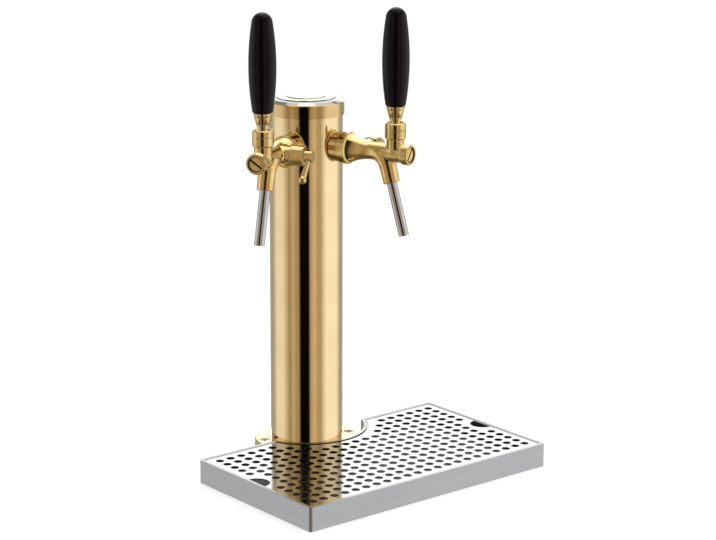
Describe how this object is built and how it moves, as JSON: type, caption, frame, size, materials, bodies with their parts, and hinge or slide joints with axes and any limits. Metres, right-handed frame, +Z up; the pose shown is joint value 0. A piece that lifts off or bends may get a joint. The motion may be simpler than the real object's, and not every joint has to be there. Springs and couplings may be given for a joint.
{
  "type": "draft beer tower",
  "caption": "Gold column beer tower with compensator taps on black grips, and a perforated steel drip tray cut out to fit round its base.",
  "frame": {"origin": "on the column's axis, at the counter surface that the tower is bolted to", "axes": "+Z up the column; -Y towards the tray's front; +X along the tray, to the right"},
  "size_m": [0.31, 0.2595, 0.4776],
  "materials": {
    "gold_steel": "mirror-polished, gold coated",
    "gold_plated_brass": "polished",
    "satin_steel": "satin",
    "polished_steel": "polished",
    "black_grip": "gloss",
    "black_rubber": "matt",
    "white_plastic": "moulded"
  },
  "bodies": {
    "tower": {"tower_column": "gold_steel", "base_flange": "gold_steel", "base_sleeve": "gold_steel", "base_gasket": "black_rubber", "left_wall_collar": "gold_plated_brass", "left_shank": "gold_plated_brass", "left_shank_spacer": "white_plastic", "left_shank_locknut": "gold_plated_brass", "left_tail_nut": "gold_plated_brass", "left_hose_tail": "satin_steel", "left_coupling_ring": "gold_plated_brass", "left_coupling_circlip": "satin_steel", "left_coupling_seal": "black_rubber", "left_tap_body": "gold_plated_brass", "left_spout_tube": "polished_steel", "left_front_plug": "gold_plated_brass", "left_flow_gland": "gold_plated_brass", "left_flow_oring": "black_rubber", "left_lever_seat": "white_plastic", "left_bonnet_nut": "gold_plated_brass", "right_wall_collar": "gold_plated_brass", "right_shank": "gold_plated_brass", "right_shank_spacer": "white_plastic", "right_shank_locknut": "gold_plated_brass", "right_tail_nut": "gold_plated_brass", "right_hose_tail": "satin_steel", "right_coupling_ring": "gold_plated_brass", "right_coupling_circlip": "satin_steel", "right_coupling_seal": "black_rubber", "right_tap_body": "gold_plated_brass", "right_spout_tube": "polished_steel", "right_front_plug": "gold_plated_brass", "right_flow_gland": "gold_plated_brass", "right_flow_oring": "black_rubber", "right_lever_seat": "white_plastic", "right_bonnet_nut": "gold_plated_brass"},
    "cap": {"tower_cap": "gold_steel"},
    "drip_tray": {"tray_pan": "satin_steel"},
    "drip_grid": {"tray_grid": "polished_steel"},
    "left_handle": {"left_tap_lever": "gold_plated_brass", "left_lever_pin": "satin_steel", "left_ferrule": "gold_plated_brass", "left_grip": "black_grip"},
    "left_valve": {"left_piston": "satin_steel", "left_piston_seal": "black_rubber"},
    "left_flow_control": {"left_flow_lever": "gold_plated_brass"},
    "left_compensator": {"left_flow_cone": "white_plastic"},
    "right_handle": {"right_tap_lever": "gold_plated_brass", "right_lever_pin": "satin_steel", "right_ferrule": "gold_plated_brass", "right_grip": "black_grip"},
    "right_valve": {"right_piston": "satin_steel", "right_piston_seal": "black_rubber"},
    "right_flow_control": {"right_flow_lever": "gold_plated_brass"},
    "right_compensator": {"right_flow_cone": "white_plastic"}
  },
  "joints": [
    {"name": "cap_lift", "type": "slide", "parent": "tower", "child": "cap", "axis": [0, 0, 1], "range_m": [0, 0.03]},
    {"name": "tray_pull", "type": "slide", "parent": "tower", "child": "drip_tray", "axis": [0, -1, 0], "range_m": [0, 0.2]},
    {"name": "grid_lift", "type": "slide", "parent": "drip_tray", "child": "drip_grid", "axis": [0, 0, 1], "range_m": [0, 0.06]},
    {"name": "left_handle_pull", "type": "hinge", "parent": "tower", "child": "left_handle", "pos_m": [-0.09412, -0.05174, 0.3546], "axis": [0.4818, -0.8763, 0], "range_deg": [-15, 20]},
    {"name": "left_valve_slide", "type": "slide", "parent": "tower", "child": "left_valve", "axis": [-0.8763, -0.4818, 0], "range_m": [-0.0032, 0.0024]},
    {"name": "left_flow_turn", "type": "hinge", "parent": "tower", "child": "left_flow_control", "pos_m": [-0.0595, -0.03271, 0.33], "axis": [0.4818, -0.8763, 0], "range_deg": [-45, 45]},
    {"name": "left_cone_slide", "type": "slide", "parent": "tower", "child": "left_compensator", "axis": [-0.8763, -0.4818, 0], "range_m": [-0.0014, 0.0014]},
    {"name": "right_handle_pull", "type": "hinge", "parent": "tower", "child": "right_handle", "pos_m": [0.03461, -0.10167, 0.3546], "axis": [0.9466, 0.3223, 0], "range_deg": [-15, 20]},
    {"name": "right_valve_slide", "type": "slide", "parent": "tower", "child": "right_valve", "axis": [0.3223, -0.9466, 0], "range_m": [-0.0032, 0.0024]},
    {"name": "right_flow_turn", "type": "hinge", "parent": "tower", "child": "right_flow_control", "pos_m": [0.02188, -0.06428, 0.33], "axis": [0.9466, 0.3223, 0], "range_deg": [-45, 45]},
    {"name": "right_cone_slide", "type": "slide", "parent": "tower", "child": "right_compensator", "axis": [0.3223, -0.9466, 0], "range_m": [-0.0014, 0.0014]}
  ],
  "couplings": [
    {"joint": "left_valve_slide", "follows": "left_handle_pull", "m_per_rad": -0.0089},
    {"joint": "left_cone_slide", "follows": "left_flow_turn", "m_per_rad": 0.00165},
    {"joint": "right_valve_slide", "follows": "right_handle_pull", "m_per_rad": -0.0089},
    {"joint": "right_cone_slide", "follows": "right_flow_turn", "m_per_rad": 0.00165}
  ]
}
